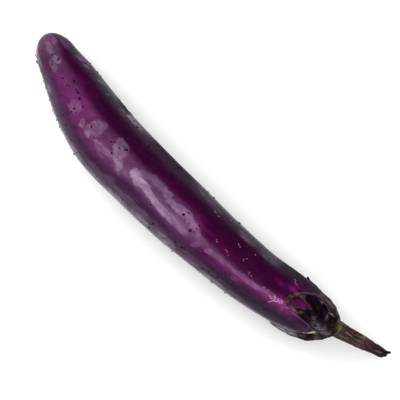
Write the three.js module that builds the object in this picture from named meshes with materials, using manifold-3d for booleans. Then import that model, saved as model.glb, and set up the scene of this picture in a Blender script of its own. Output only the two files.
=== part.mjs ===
// A long, slim eggplant lying on its side: a glossy purple fruit that curves gently in plan, the leathery
// calyx that clasps its top with five sepals, and the ribbed stem it was cut by. Millimetres. +X runs from
// the blossom end to the stem, +Y across, +Z up from the table. Angles round the fruit are in degrees, 0 at
// the top and growing towards +Y.
import * as THREE from 'three';
import { mergeVertices } from 'three/addons/utils/BufferGeometryUtils.js';
import Module from 'manifold-3d';

// ---- Fruit ----
// Stations along the length: the middle line across, the radius, and how far the underside is off the table.
const fruitStations = [
  { x: -153.6, across: 19.0, radius: 11.4, lift: 6.0 },
  { x: -138, across: 13.6, radius: 13.5, lift: 3.6 },
  { x: -120, across: 8.6, radius: 17.5, lift: 1.0 },
  { x: -100, across: 2.7, radius: 20.8, lift: 0 },
  { x: -75, across: -2.6, radius: 23.0, lift: 0 },
  { x: -45, across: -3.7, radius: 22.8, lift: 0 },
  { x: -10, across: -3.6, radius: 22.5, lift: 0 },
  { x: 25, across: -2.3, radius: 20.8, lift: 0 },
  { x: 55, across: -0.1, radius: 19.6, lift: 0.2 },
  { x: 80, across: 4.3, radius: 18.5, lift: 1.2 },
  { x: 92, across: 6.1, radius: 17.4, lift: 2.0 },
  { x: 99.5, across: 7.75, radius: 15.4, lift: 2.8 },
  { x: 112.5, across: 12.2, radius: 14.8, lift: 3.6 },
];
const noseLength = 14;
const crownLength = 16;
const restingFlatDepth = 0.3;
const fruitColumns = 40;
const fruitRows = 56;
const noseRows = 7;
const crownRows = 5;

// ---- Warts: tiny corky bumps, thickest towards the blossom end ----
// [x, angle, size] of those in plain sight; more are scattered over the flanks by a seeded rule.
const plainWarts = [
  [-144.8, 84, 0.7], [-140.8, -86, 1.4], [-138.2, -6, 0.7], [-135, -84, 0.8], [-133.2, 6, 0.6],
  [-132.8, 2.5, 1], [-132.2, -17.5, 0.8], [-128.8, -86, 0.9], [-124.2, -84, 0.9], [-123.4, 53, 0.7],
  [-122.8, 58, 1], [-120, -9.5, 0.8], [-119, -63, 0.7], [-115.8, -86, 0.9], [-115.6, 44.5, 0.9],
  [-114.6, 7.5, 1], [-114.4, -8, 0.7], [-114.4, 52, 0.6], [-113.2, 84, 0.8], [-112.6, -4.5, 0.6],
  [-112.6, 11, 0.6], [-108.6, 4, 0.6], [-107, -84, 0.8], [-106.8, 4, 1], [-103, -85, 0.8], [-103, 1.5, 1],
  [-103, 35.5, 0.7], [-102.2, 43, 0.7], [-100.8, -43, 0.9], [-99.8, -16, 1], [-99, -31, 0.6],
  [-99, -23, 0.8], [-97.8, -1, 0.7], [-96.8, -17.5, 0.6], [-96.2, -84, 0.7], [-94.8, -48, 0.9],
  [-93, 84, 0.8], [-90.8, -35.5, 0.6], [-90.6, 32.5, 0.6], [-87.2, 56, 0.8], [-87, 85, 0.8],
  [-86.4, -57.5, 0.9], [-84.2, -6.5, 0.9], [-81, 61, 0.8], [-80.2, -18, 0.7], [-79.4, -64.5, 1],
  [-78.2, 34.5, 0.8], [-72.8, -66, 0.8], [-72.6, 67.5, 1], [-70.8, 4.5, 0.8], [-69.2, 8.5, 0.8],
  [-67.8, 59.5, 1.3], [-66.2, 28.5, 0.6], [-65.8, -7, 0.8], [-64.8, 7, 0.7], [-61.8, 11.5, 0.8],
  [-60.8, 13.5, 1.1], [-55.6, 26.5, 0.6], [-53, 47.5, 1.4], [-45.6, -14, 0.6], [-44.8, 70.5, 0.8],
  [-36.2, -58.5, 0.7], [-29.2, 62.5, 1.4], [-25.8, -22.5, 0.7], [-18.8, 11, 0.8], [-17, -64.5, 1.1],
  [-16.8, -47, 1.3], [-10.2, 6, 0.6], [-7.2, 2.5, 1.4], [-5.4, 10, 0.8], [-4.8, 82.5, 0.9], [-1, -2, 0.6],
  [0.8, -46, 0.7], [2.4, -9.5, 1.4], [2.6, -50.5, 0.8], [4.4, 7, 0.7], [4.6, -0.5, 0.7], [6, -45, 1.3],
  [8, -44.5, 0.9], [20.4, -23, 0.9], [24.4, -55.5, 0.7], [28.4, 46, 0.7], [29.4, -50, 0.8],
  [35.8, -47.5, 1.1], [44.6, -39, 0.7], [49, -44, 0.6], [57.2, -61.5, 0.8], [80.6, 39, 0.7],
  [83.4, 52.5, 1.2],
];
const flankWartCount = 30;
const flankWartAngles = [78, 120];
const flankWartRange = [-146, 70];
const wartCrowding = 1.8;
const wartSeed = 7;
const wartRadius = 0.75;
const wartHeight = 0.44;
const wartSides = 6;
const flankWartSizes = [0.8, 1.2];

// ---- Calyx: [angle, x] points of its edge, lobe by lobe, starting at the top ----
const calyxEdge = [
  [0, 78], [5, 77.6], [10, 77.9], [16, 79.1], [23.5, 81.4], [31.5, 83.9], [37.5, 86], [45.5, 89.7],
  [53.5, 92.8], [62, 94.3], [74, 95.5], [83, 96], [93, 94.5], [100, 90], [107, 83.3], [113.5, 90],
  [120, 95.5], [129, 98], [139, 92], [154, 84], [170, 91], [180, 98], [192, 92], [208, 84], [224, 92],
  [236, 97.5], [248, 91], [256, 83.5], [262, 79.8], [270, 80.8], [278, 82.6], [284.5, 85], [289, 87.8],
  [293, 91], [298, 93.4], [303, 95], [306.5, 97], [309.5, 99.8], [312.3, 102.8], [316, 104.8],
  [320.5, 105.2], [325, 104.3], [330, 102.6], [338, 97.8], [342.5, 94.6], [345.5, 91.4], [347.5, 88.4],
  [349, 85.6], [350.4, 82.8], [352, 80.6], [355, 78.9],
];
const sepalMiddles = [14, 107, 154, 208, 262];
const calyxGap = 0.36;
const calyxEdgeThickness = 0.65;
const calyxCrownThickness = 1.5;
const midribHeight = 0.35;
const midribHalfAngle = 7;
const midribStart = 0.1;
const sepalCurl = 0.05;
const curlSharpness = 10;
const liftedTip = { angle: 107, halfAngle: 4.5, height: 1.6 };
const calyxShoulder = { x: 108.6, thickness: 2.2 };
const shoulderSharpness = 6;
const calyxColumns = 120;
const calyxInnerRows = 11;
const calyxOuterRows = 11;
// Rings from the shoulder to the stem's seat: how far along they are, and their radius.
const calyxCrownRings = [
  { share: 0.4, radius: 9.3 },
  { share: 0.8, radius: 7.1 },
  { share: 1, radius: 5.7 },
];
const crownRidgeHeight = 0.35;

// ---- Window torn in the top sepal: its outline seen from above ----
const windowOutline = [
  [79.9, 4.2], [80, 7.4], [81.3, 10.2], [84, 11.6], [88.5, 11.7], [93.7, 10.9], [92.5, 9.1], [86.2, 5],
  [81.8, 2.9],
];
const windowRimRadius = 0.55;
const windowSteps = 32;
const windowRimSides = 6;
const windowCutDepth = 30;

// ---- Stem: points of its middle line and its radius there ----
const stemStations = [
  { x: 115.9, across: 12.6, height: 18.4, radius: 5.4 },
  { x: 124.9, across: 14.9, height: 16.2, radius: 4.6 },
  { x: 135.7, across: 17.9, height: 12.6, radius: 4.1 },
  { x: 145.6, across: 20.8, height: 9.2, radius: 3.1 },
  { x: 154.3, across: 22.8, height: 6.4, radius: 2.5 },
];
const stemRibs = 5;
const stemRibHeight = 0.3;
const stemTwist = 50;
const stemColumns = 30;
const stemRows = 24;
const stemEndRows = 2;
// The cut reaches further on the +Y side: how far at the most, and where along the stem it starts to lean.
const stemCutSlant = { reach: 1.2, from: 0.9 };
const hookPoints = [[152.6, 24.2, 6.8], [154.5, 25.1, 7.4], [155.4, 25.9, 7.8], [154.9, 26.6, 8.2]];
const hookRadius = 0.95;
const hookSides = 6;
const hookSteps = 8;

const up = new THREE.Vector3(0, 0, 1);
const fullTurn = 360;

// A smooth curve through named stops, with each stop's slope taken from its two neighbours.
function smoothThrough(stops, key, value, at) {
  let right = 1;
  while (right < stops.length - 1 && stops[right][key] < at) right += 1;
  const left = right - 1;
  const slopeAt = (i) => {
    const before = stops[Math.max(i - 1, 0)];
    const after = stops[Math.min(i + 1, stops.length - 1)];
    return (after[value] - before[value]) / (after[key] - before[key]);
  };
  const span = stops[right][key] - stops[left][key];
  const t = (at - stops[left][key]) / span;
  const rise = stops[right][value] - stops[left][value];
  const bendLeft = slopeAt(left) * span - rise;
  const bendRight = rise - slopeAt(right) * span;
  return stops[left][value] + rise * t + t * (1 - t) * (bendLeft * (1 - t) + bendRight * t);
}

// A closed solid: a sphere's grid, each point moved to surface(angle in degrees, share of the way along).
function solidOfRows(columns, rows, surface) {
  const grid = new THREE.SphereGeometry(1, columns, rows);
  const { position, uv } = grid.attributes;
  for (let i = 0; i < position.count; i += 1) {
    const turn = Math.round(uv.getX(i) * columns) % columns;
    const point = surface((turn / columns) * fullTurn, 1 - uv.getY(i));
    position.setXYZ(i, point.x, point.y, point.z);
  }
  grid.deleteAttribute('normal');
  grid.deleteAttribute('uv');
  return mergeVertices(grid);
}

const wasm = await Module();
wasm.setup();

function toManifold(geometry) {
  const vertProperties = new Float32Array(geometry.attributes.position.array);
  const triVerts = new Uint32Array(geometry.index.array);
  return new wasm.Manifold(new wasm.Mesh({ numProp: 3, vertProperties, triVerts }));
}

function fromManifold(solid) {
  const mesh = solid.getMesh();
  const geometry = new THREE.BufferGeometry();
  geometry.setAttribute('position', new THREE.BufferAttribute(mesh.vertProperties, 3));
  geometry.setIndex(new THREE.BufferAttribute(mesh.triVerts, 1));
  return geometry;
}

function welded(geometry) {
  geometry.deleteAttribute('normal');
  geometry.deleteAttribute('uv');
  return mergeVertices(geometry);
}

// Numbers between 0 and 1, the same ones for the same seed.
function seededDraw(seed) {
  const factor = 16807;
  const size = 2147483647;
  let state = seed;
  return () => {
    state = (state * factor) % size;
    return state / size;
  };
}

// The frame of a ring square to a middle line: where it is, which way it faces, its side and its top.
function ringFrame(middle, at) {
  const step = 0.5;
  const origin = middle(at);
  const along = middle(at + step).sub(middle(at - step)).normalize();
  const side = new THREE.Vector3().crossVectors(up, along).normalize();
  const top = new THREE.Vector3().crossVectors(along, side);
  return { origin, along, side, top };
}

function outwards(frame, angle) {
  const turn = THREE.MathUtils.degToRad(angle);
  return frame.top.clone().multiplyScalar(Math.cos(turn)).addScaledVector(frame.side, Math.sin(turn));
}

// ---- Fruit ----
const noseX = fruitStations[0].x;
const crownX = fruitStations.at(-1).x;
const fruitLine = (value, x) => smoothThrough(fruitStations, 'x', value, x);

function fruitMiddle(x) {
  const height = fruitLine('radius', x) + fruitLine('lift', x) - restingFlatDepth;
  return new THREE.Vector3(x, fruitLine('across', x), height);
}

// The body's radius, closed at each end by a dome.
function fruitRadius(x) {
  const dome = (distance, length) => Math.sqrt(Math.max(0, 1 - (1 - Math.min(distance / length, 1)) ** 2));
  return fruitLine('radius', x) * dome(x - noseX, noseLength) * dome(crownX - x, crownLength);
}

// A point at a distance off the fruit's skin, measured square to the skin.
function offSkin(x, angle, distance) {
  const step = 0.05;
  const frame = ringFrame(fruitMiddle, x);
  const outward = outwards(frame, angle);
  const slope = (fruitRadius(x + step) - fruitRadius(x - step)) / (2 * step);
  const normal = outward.clone().addScaledVector(frame.along, -slope).normalize();
  return frame.origin.addScaledVector(outward, fruitRadius(x)).addScaledVector(normal, distance);
}

// Rings crowd together over the two domes and are even between them.
function fruitRingX(share) {
  const nose = noseRows / fruitRows;
  const crown = crownRows / fruitRows;
  if (share < nose) return noseX + noseLength * (1 - Math.cos((share / nose) * (Math.PI / 2)));
  if (share > 1 - crown) return crownX - crownLength * (1 - Math.cos(((1 - share) / crown) * (Math.PI / 2)));
  return THREE.MathUtils.mapLinear(share, nose, 1 - crown, noseX + noseLength, crownX - crownLength);
}

// One wart: a low cone with its root sunk under the skin.
function wart(x, angle, size) {
  const bump = welded(new THREE.ConeGeometry(wartRadius * size, 2 * wartHeight * size, wartSides));
  const foot = offSkin(x, angle, 0);
  const facing = offSkin(x, angle, 1).sub(foot);
  bump.applyQuaternion(new THREE.Quaternion().setFromUnitVectors(new THREE.Vector3(0, 1, 0), facing));
  bump.translate(foot.x, foot.y, foot.z);
  return toManifold(bump);
}

// The flanks' warts crowd towards the blossom end, half of them on each side.
function allWarts() {
  const draw = seededDraw(wartSeed);
  const warts = plainWarts.map((place) => wart(...place));
  for (let i = 0; i < flankWartCount; i += 1) {
    const x = THREE.MathUtils.lerp(...flankWartRange, draw() ** wartCrowding);
    const angle = THREE.MathUtils.lerp(...flankWartAngles, draw());
    const size = THREE.MathUtils.lerp(...flankWartSizes, draw());
    warts.push(wart(x, i % 2 ? angle : -angle, size));
  }
  return warts.reduce((joined, next) => joined.add(next));
}

function fruitShape() {
  const body = solidOfRows(fruitColumns, fruitRows, (angle, share) => {
    const point = offSkin(fruitRingX(share), angle, 0);
    point.z = Math.max(point.z, 0);
    return point;
  });
  return fromManifold(toManifold(body).add(allWarts()));
}

// ---- Calyx ----
// The edge's points, repeated a turn either way so that the curve closes smoothly.
const edgeStops = [-fullTurn, 0, fullTurn].flatMap((turn) => (
  calyxEdge.map(([angle, x]) => ({ angle: angle + turn, x }))
));
const calyxEdgeX = (angle) => smoothThrough(edgeStops, 'angle', 'x', angle);

const angleApart = (a, b) => Math.abs(((a - b + 1.5 * fullTurn) % fullTurn) - fullTurn / 2);
const bellCurve = (distance, width) => Math.exp(-((distance / width) ** 2));

function midrib(angle) {
  return sepalMiddles.reduce((sum, middle) => sum + bellCurve(angleApart(angle, middle), midribHalfAngle), 0);
}

// How far the inner face stands off the skin, fading from the edge (0) to the shoulder (1).
function calyxLift(angle, share) {
  const tip = liftedTip.height * bellCurve(angleApart(angle, liftedTip.angle), liftedTip.halfAngle);
  return calyxGap + (sepalCurl + tip) * (1 - share) ** curlSharpness;
}

function calyxThickness(angle, share) {
  const plain = THREE.MathUtils.lerp(calyxEdgeThickness, calyxCrownThickness, share);
  const swelling = (calyxShoulder.thickness - calyxCrownThickness) * share ** shoulderSharpness;
  const ribFade = Math.sqrt(Math.sin(Math.PI * THREE.MathUtils.lerp(midribStart, 1, share)));
  return plain + swelling + midribHeight * midrib(angle) * ribFade;
}

const calyxRows = calyxInnerRows + calyxOuterRows + calyxCrownRings.length + 1;
const stemLine = (value, x) => smoothThrough(stemStations, 'x', value, x);
const stemMiddle = (x) => new THREE.Vector3(x, stemLine('across', x), stemLine('height', x));
const stemSeatX = stemStations[0].x;
const stemEndX = stemStations.at(-1).x;

// The rows run from the middle of the cup's inside out to its edge, back over the outside, and in to the stem
// by way of the crown rings.
function calyxSurface(angle, share) {
  const row = Math.round(share * calyxRows);
  const seat = ringFrame(stemMiddle, stemSeatX);
  const seatCentre = seat.origin.clone().addScaledVector(seat.along, -calyxGap);
  if (row === 0) return fruitMiddle(crownX).addScaledVector(ringFrame(fruitMiddle, crownX).along, calyxGap);
  if (row === calyxRows) return seatCentre;
  const edgeX = calyxEdgeX(angle);
  if (row <= calyxInnerRows) {
    const x = crownX - (crownX - edgeX) * (1 - Math.cos((row / calyxInnerRows) * (Math.PI / 2)));
    const fromEdge = THREE.MathUtils.clamp((x - edgeX) / (calyxShoulder.x - edgeX), 0, 1);
    return offSkin(x, angle, calyxLift(angle, fromEdge));
  }
  if (row <= calyxInnerRows + calyxOuterRows) {
    const fromEdge = (row - calyxInnerRows - 1) / (calyxOuterRows - 1);
    const x = THREE.MathUtils.lerp(edgeX, calyxShoulder.x, fromEdge);
    return offSkin(x, angle, calyxLift(angle, fromEdge) + calyxThickness(angle, fromEdge));
  }
  const ring = calyxCrownRings[row - calyxInnerRows - calyxOuterRows - 1];
  const shoulder = ringFrame(fruitMiddle, calyxShoulder.x);
  const shoulderCentre = shoulder.origin.addScaledVector(shoulder.along, calyxShoulder.thickness);
  const outward = outwards(shoulder, angle).lerp(outwards(seat, angle), ring.share).normalize();
  const radius = ring.radius + crownRidgeHeight * midrib(angle);
  return shoulderCentre.lerp(seatCentre, ring.share).addScaledVector(outward, radius);
}

// The outline of the window as a closed curve laid on the sepal's outer face.
function windowCurve() {
  const corners = windowOutline.map(([x, y]) => new THREE.Vector3(x, y, 0));
  return new THREE.CatmullRomCurve3(corners, true);
}

function heightOnSepal(x, y) {
  const middle = fruitMiddle(x);
  const radius = fruitRadius(x) + calyxGap + calyxEdgeThickness;
  return middle.z + Math.sqrt(radius ** 2 - (y - middle.y) ** 2);
}

function windowCutter() {
  const corners = windowCurve().getPoints(windowSteps).slice(0, -1);
  const outline = new THREE.Shape(corners.map(({ x, y }) => new THREE.Vector2(x, y)));
  const prism = new THREE.ExtrudeGeometry(outline, { depth: windowCutDepth, bevelEnabled: false });
  prism.translate(0, 0, fruitMiddle(corners[0].x).z);
  return toManifold(welded(prism));
}

// The dried, thickened rim: a ring of round section that follows the window's outline.
function windowRim() {
  const laid = windowCurve().getPoints(windowSteps).slice(0, -1);
  laid.forEach((point) => point.setZ(heightOnSepal(point.x, point.y)));
  const path = new THREE.CatmullRomCurve3(laid, true);
  const ring = new THREE.TorusGeometry(1, windowRimRadius, windowRimSides, windowSteps);
  const { position, uv } = ring.attributes;
  for (let i = 0; i < position.count; i += 1) {
    const step = Math.round(uv.getX(i) * windowSteps) % windowSteps;
    const side = Math.round(uv.getY(i) * windowRimSides) % windowRimSides;
    const centre = path.getPoint(step / windowSteps);
    const outward = new THREE.Vector3().crossVectors(path.getTangent(step / windowSteps), up).normalize();
    const turn = (side / windowRimSides) * 2 * Math.PI;
    centre.addScaledVector(outward, windowRimRadius * Math.cos(turn));
    position.setXYZ(i, centre.x, centre.y, centre.z + windowRimRadius * Math.sin(turn));
  }
  return toManifold(welded(ring));
}

function calyxShape() {
  const cup = toManifold(solidOfRows(calyxColumns, calyxRows, calyxSurface));
  return fromManifold(cup.subtract(windowCutter()).add(windowRim()));
}

// ---- Stem ----
function stemSurface(angle, share) {
  const inner = THREE.MathUtils.clamp((share * stemRows - stemEndRows) / (stemRows - 2 * stemEndRows), 0, 1);
  const x = THREE.MathUtils.lerp(stemSeatX, stemEndX, inner);
  const frame = ringFrame(stemMiddle, x);
  const fromEnd = Math.min(share, 1 - share) * stemRows;
  const closing = Math.min(fromEnd / stemEndRows, 1);
  const rib = stemRibHeight * Math.cos(THREE.MathUtils.degToRad(angle * stemRibs + stemTwist * inner));
  const lean = Math.max(THREE.MathUtils.inverseLerp(stemCutSlant.from, 1, inner), 0) * closing;
  const slant = stemCutSlant.reach * lean * Math.sin(THREE.MathUtils.degToRad(angle));
  frame.origin.addScaledVector(frame.along, slant);
  return frame.origin.addScaledVector(outwards(frame, angle), (stemLine('radius', x) + rib) * closing);
}

// The curled strand of bark left at the cut.
function hook() {
  const path = new THREE.CatmullRomCurve3(hookPoints.map((point) => new THREE.Vector3(...point)));
  const section = new THREE.Shape().absarc(0, 0, hookRadius, 0, 2 * Math.PI);
  const options = { steps: hookSteps, extrudePath: path, curveSegments: hookSides, bevelEnabled: false };
  return toManifold(welded(new THREE.ExtrudeGeometry(section, options)));
}

function stemShape() {
  return fromManifold(toManifold(solidOfRows(stemColumns, stemRows, stemSurface)).add(hook()));
}

// ---- Assembly ----
function piece(name, geometry, color, roughness) {
  const mesh = new THREE.Mesh(geometry, new THREE.MeshStandardMaterial({ color, roughness, metalness: 0 }));
  mesh.name = name;
  return mesh;
}

const eggplant = new THREE.Group();
eggplant.add(
  piece('fruit', fruitShape(), 0x4a1248, 0.25),
  piece('calyx', calyxShape(), 0x1c1219, 0.65),
  piece('stem', stemShape(), 0x4a2f35, 0.75),
);

// The origin is under the middle of the whole eggplant's box, on the table.
const box = new THREE.Box3().setFromObject(eggplant);
const middle = box.getCenter(new THREE.Vector3());
eggplant.position.set(-middle.x, -middle.y, -box.min.z);

export default eggplant;
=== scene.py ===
# A long purple eggplant lying on its side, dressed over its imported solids: the skin with its bloom, warts and
# scratches, the wrinkled calyx with a torn window in one sepal, and the ribbed stem with its dried cut.
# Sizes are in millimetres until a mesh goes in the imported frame.
# Angles are in degrees round the fruit, 0 on top, +90 at +Y.
import math
import bpy
import numpy as np
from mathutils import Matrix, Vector, noise


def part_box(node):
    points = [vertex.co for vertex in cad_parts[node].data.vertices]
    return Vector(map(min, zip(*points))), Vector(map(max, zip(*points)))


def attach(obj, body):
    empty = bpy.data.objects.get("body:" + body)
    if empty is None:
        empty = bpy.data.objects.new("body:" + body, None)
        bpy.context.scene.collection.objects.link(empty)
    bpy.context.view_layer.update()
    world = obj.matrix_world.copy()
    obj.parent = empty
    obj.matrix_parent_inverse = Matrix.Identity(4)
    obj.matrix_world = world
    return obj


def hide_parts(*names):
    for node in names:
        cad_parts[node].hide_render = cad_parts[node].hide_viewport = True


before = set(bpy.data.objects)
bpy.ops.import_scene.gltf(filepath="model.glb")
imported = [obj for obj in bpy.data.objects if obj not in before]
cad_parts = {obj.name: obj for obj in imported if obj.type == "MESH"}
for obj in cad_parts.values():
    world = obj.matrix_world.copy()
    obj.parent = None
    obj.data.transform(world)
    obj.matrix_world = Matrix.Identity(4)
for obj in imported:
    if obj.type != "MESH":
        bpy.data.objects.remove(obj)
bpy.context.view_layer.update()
millimetre = 0.001
up = np.array([0.0, 0.0, 1.0])

# the camera looks straight down on a point, its picture turned against the eggplant's length
camera = {
    "over": (-5.26, 11.3),      # in the shapes' own millimetres
    "turn": 44.04,
    "seenWidth": 260,      # at the height below
    "height": 23,
    "lens": 100,
    "sensor": 36,
}


def addObject(name, data):
    piece = bpy.data.objects.new(name, data)
    bpy.context.scene.collection.objects.link(piece)
    return piece


def makeCamera():
    data = bpy.data.cameras.new("camera")
    data.lens = camera["lens"]
    data.sensor_width = camera["sensor"]
    rise = camera["seenWidth"] * camera["lens"] / camera["sensor"] + camera["height"]
    holder = addObject("camera", data)
    over = np.array([*camera["over"], rise]) + shift
    holder.location = (over * millimetre).tolist()
    holder.rotation_euler = (0, 0, math.radians(camera["turn"]))
    bpy.context.scene.camera = holder


def tone(code):
    # a screen colour such as "4a1248" as the linear colour that a node takes
    channels = [int(code[i:i + 2], 16) / 255 for i in (0, 2, 4)]
    return [((c + 0.055) / 1.055) ** 2.4 if c > 0.04 else c / 12.92 for c in channels] + [1]


def shaderSockets(tree):
    # the shader's inputs, named without their spaces
    return {socket.name.replace(" ", ""): socket for socket in tree.nodes["Principled BSDF"].inputs}


def newMaterial(name, **fixed):
    # fixed holds the shader's constant inputs
    material = bpy.data.materials.new(name)
    material.use_nodes = True
    for key, value in fixed.items():
        shaderSockets(material.node_tree)[key].default_value = value
    return material, material.node_tree


def connect(tree, **outputs):
    for key, output in outputs.items():
        tree.links.new(output, shaderSockets(tree)[key])


def addNode(tree, kind, inputs=None, **settings):
    node = tree.nodes.new("ShaderNode" + kind)
    for key, value in settings.items():
        setattr(node, key, value)
    for key, value in (inputs or {}).items():
        if isinstance(value, bpy.types.NodeSocket):
            tree.links.new(value, node.inputs[key])
        else:
            node.inputs[key].default_value = value
    return node


def painted(tree, layer):
    # a layer of values painted on the mesh, point by point
    return addNode(tree, "Attribute", attribute_name="paint" + layer.capitalize()).outputs["Fac"]


def mixTones(tree, share, under, over):
    # colours are sockets or screen colours; mesh nodes take the two at sockets 6 and 7
    under, over = [tone(value) if isinstance(value, str) else value for value in (under, over)]
    return addNode(tree, "Mix", {0: share, 6: under, 7: over}, data_type="RGBA").outputs[2]


def combine(tree, a, b, how="MULTIPLY"):
    return addNode(tree, "Math", {0: a, 1: b}, operation=how).outputs[0]


def cover(tree, colour, layer, over, share=1.0):
    # lays a colour over another where its layer is painted
    return mixTones(tree, combine(tree, painted(tree, layer), share), colour, over)


def scaleTone(tree, colour, shade):
    shades = addNode(tree, "CombineXYZ", {0: shade, 1: shade, 2: shade}).outputs[0]
    return addNode(tree, "VectorMath", {0: colour, 1: shades}, operation="MULTIPLY").outputs[0]


def remap(tree, value, low, high, toLow=0.0, toHigh=1.0):
    sockets = {"Value": value, "From Min": low, "From Max": high, "To Min": toLow, "To Max": toHigh}
    return addNode(tree, "MapRange", sockets).outputs["Result"]


def ramp(tree, value, stops):
    # stops are (place from 0 to 1, screen colour)
    node = addNode(tree, "ValToRGB", {"Fac": value})
    elements = node.color_ramp.elements
    while len(elements) < len(stops):
        elements.new(0.5)
    for element, (place, code) in zip(elements, stops):
        element.position = place
        element.color = tone(code)
    return node.outputs["Color"]


def speckle(tree, size, stretch=1, detail=3, lumpiness=0.6):
    # noise whose lumps are about size across, in millimetres, and longer along x where stretch is below 1
    place = addNode(tree, "TexCoord").outputs["Object"]
    stretched = addNode(tree, "Mapping", {"Vector": place, "Scale": (stretch, 1, 1)}).outputs["Vector"]
    sockets = {"Vector": stretched, "Scale": 1 / (size * millimetre)}
    sockets.update({"Detail": detail, "Roughness": lumpiness})
    return addNode(tree, "TexNoise", sockets).outputs["Fac"]


def lumps(tree, size, low=0.3, high=0.7, toLow=0.0, toHigh=1.0, **kind):
    return remap(tree, speckle(tree, size, **kind), low, high, toLow, toHigh)


def roughen(tree, size, depth, strength, **kind):
    # a fine grain, its size and depth in millimetres
    sockets = {"Height": speckle(tree, size, **kind), "Distance": depth * millimetre, "Strength": strength}
    connect(tree, Normal=addNode(tree, "Bump", sockets).outputs["Normal"])


def smoothThrough(stops, at, column=1):
    # a smooth curve through rows of (place, value, ...), each row's slope taken from its two neighbours
    table = np.array(stops, float)
    places, values = table[:, 0], table[:, column]
    last = len(places) - 1
    before = np.maximum(np.arange(last + 1) - 1, 0)
    after = np.minimum(np.arange(last + 1) + 1, last)
    slopes = (values[after] - values[before]) / (places[after] - places[before])
    right = np.clip(np.searchsorted(places, at), 1, last)
    left = right - 1
    span = places[right] - places[left]
    rise = values[right] - values[left]
    t = (at - places[left]) / span
    bend = (slopes[left] * span - rise) * (1 - t) + (rise - slopes[right] * span) * t
    return values[left] + rise * t + t * (1 - t) * bend


def smoothStep(value, low, high):
    t = np.clip((value - low) / (high - low), 0, 1)
    return t * t * (3 - 2 * t)


def riseAndFall(value, stops):
    # 0 up to the first of four stops, 1 between the middle two, 0 again from the last
    return smoothStep(value, *stops[:2]) * (1 - smoothStep(value, *stops[2:]))


def bellCurve(distance, width):
    return np.exp(-((distance / width) ** 2))


def angleApart(a, b):
    return np.abs((a - b + 540) % 360 - 180)


def unit(vectors):
    return vectors / np.maximum(np.linalg.norm(vectors, axis=-1, keepdims=True), 1e-9)


def ringFrame(middleLine, at):
    # a ring square to a middle line: its centre, the way along, and its side and top
    along = unit(middleLine(at + 0.5) - middleLine(at - 0.5))
    side = unit(np.cross(up, along))
    return middleLine(at), along, side, np.cross(along, side)


def outwards(ring, angle):
    turn = np.radians(angle)[..., None]
    return ring[3] * np.cos(turn) + ring[2] * np.sin(turn)


def grain(points, size, seed=0):
    # smooth noise from about -1 to 1, its lumps about size across; size is one number, or along and across
    along, across = np.broadcast_to(size, 2)
    scaled = points.reshape(-1, 3) / [along, across, across] + 31.7 * seed
    values = [noise.noise(place) for place in scaled.tolist()]
    return np.array(values).reshape(points.shape[:-1])


def pushOut(points, amount):
    # moves the points of a closed grid along its own normals
    along = np.gradient(points, axis=0)
    around = np.roll(points, -1, axis=1) - np.roll(points, 1, axis=1)
    return points + unit(np.cross(along, around)) * amount[..., None]


def paint(mesh, **layers):
    for layer, values in layers.items():
        attribute = mesh.attributes.new("paint" + layer.capitalize(), "FLOAT", "POINT")
        attribute.data.foreach_set("value", np.ascontiguousarray(values, np.float32))


def ringAngles(count):
    return np.arange(count) * 360 / count


def pointsOf(mesh):
    # in millimetres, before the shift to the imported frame
    flat = np.zeros(len(mesh.vertices) * 3, np.float32)
    mesh.vertices.foreach_get("co", flat)
    return flat.reshape(-1, 3).astype(float)


def meshOf(name, points, faces):
    mesh = bpy.data.meshes.new(name)
    mesh.from_pydata(points.tolist(), [], faces)
    mesh.update()
    mesh.shade_smooth()
    return mesh


def quadsBetween(here, following):
    # the quads between closed rows of point numbers and the rows that follow them
    corners = [here, following, np.roll(following, -1, axis=1), np.roll(here, -1, axis=1)]
    return np.stack(corners, -1).reshape(-1, 4).tolist()


def meshFromRows(name, rings):
    # rings are rows of points; the first and the last row close to one point
    columns = rings.shape[1]
    points = np.vstack([rings[0, :1], rings[1:-1].reshape(-1, 3), rings[-1, :1]])
    here = 1 + np.arange(len(points) - 2).reshape(-1, columns)
    beside = np.roll(here, -1, axis=1)
    first, last = np.zeros(columns, int), np.full(columns, len(points) - 1)
    fans = [np.stack([first, here[0], beside[0]], -1), np.stack([last, beside[-1], here[-1]], -1)]
    return meshOf(name, points, quadsBetween(here[:-1], here[1:]) + np.vstack(fans).tolist())


def rowsOfTube(path, radii, sides, closed=False):
    # rings round a path of points
    along = unit(np.roll(path, -1, 0) - np.roll(path, 1, 0) if closed else np.gradient(path, axis=0))
    side = unit(np.cross(up, along))
    turn = np.radians(ringAngles(sides))[None, :, None]
    around = np.cross(along, side)[:, None] * np.cos(turn) + side[:, None] * np.sin(turn)
    return path[:, None] + around * np.array(radii)[:, None, None]


def joinMeshes(name, layer, parts):
    # parts are small closed meshes, each with its points' values in a layer of paint
    faces, start = [], 0
    for mesh, _ in parts:
        faces += [[start + corner for corner in face.vertices] for face in mesh.polygons]
        start += len(mesh.vertices)
    joined = meshOf(name, np.vstack([pointsOf(mesh) for mesh, _ in parts]), faces)
    paint(joined, **{layer: np.concatenate([values for _, values in parts])})
    return joined


shift = np.zeros(3)      # from the shapes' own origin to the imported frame, set once the fruit is made


def standFor(mesh, material, slot, *nodes):
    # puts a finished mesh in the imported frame, in place of its solid
    points = (pointsOf(mesh) + shift) * millimetre
    mesh.vertices.foreach_set("co", points.astype(np.float32).ravel())
    mesh.update()
    mesh.materials.append(material)
    piece = addObject(mesh.name, mesh)
    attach(piece, "root")
    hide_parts(*nodes)
    print(mesh.name, "has", sum(len(face.vertices) - 2 for face in mesh.polygons), "triangles")


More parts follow.
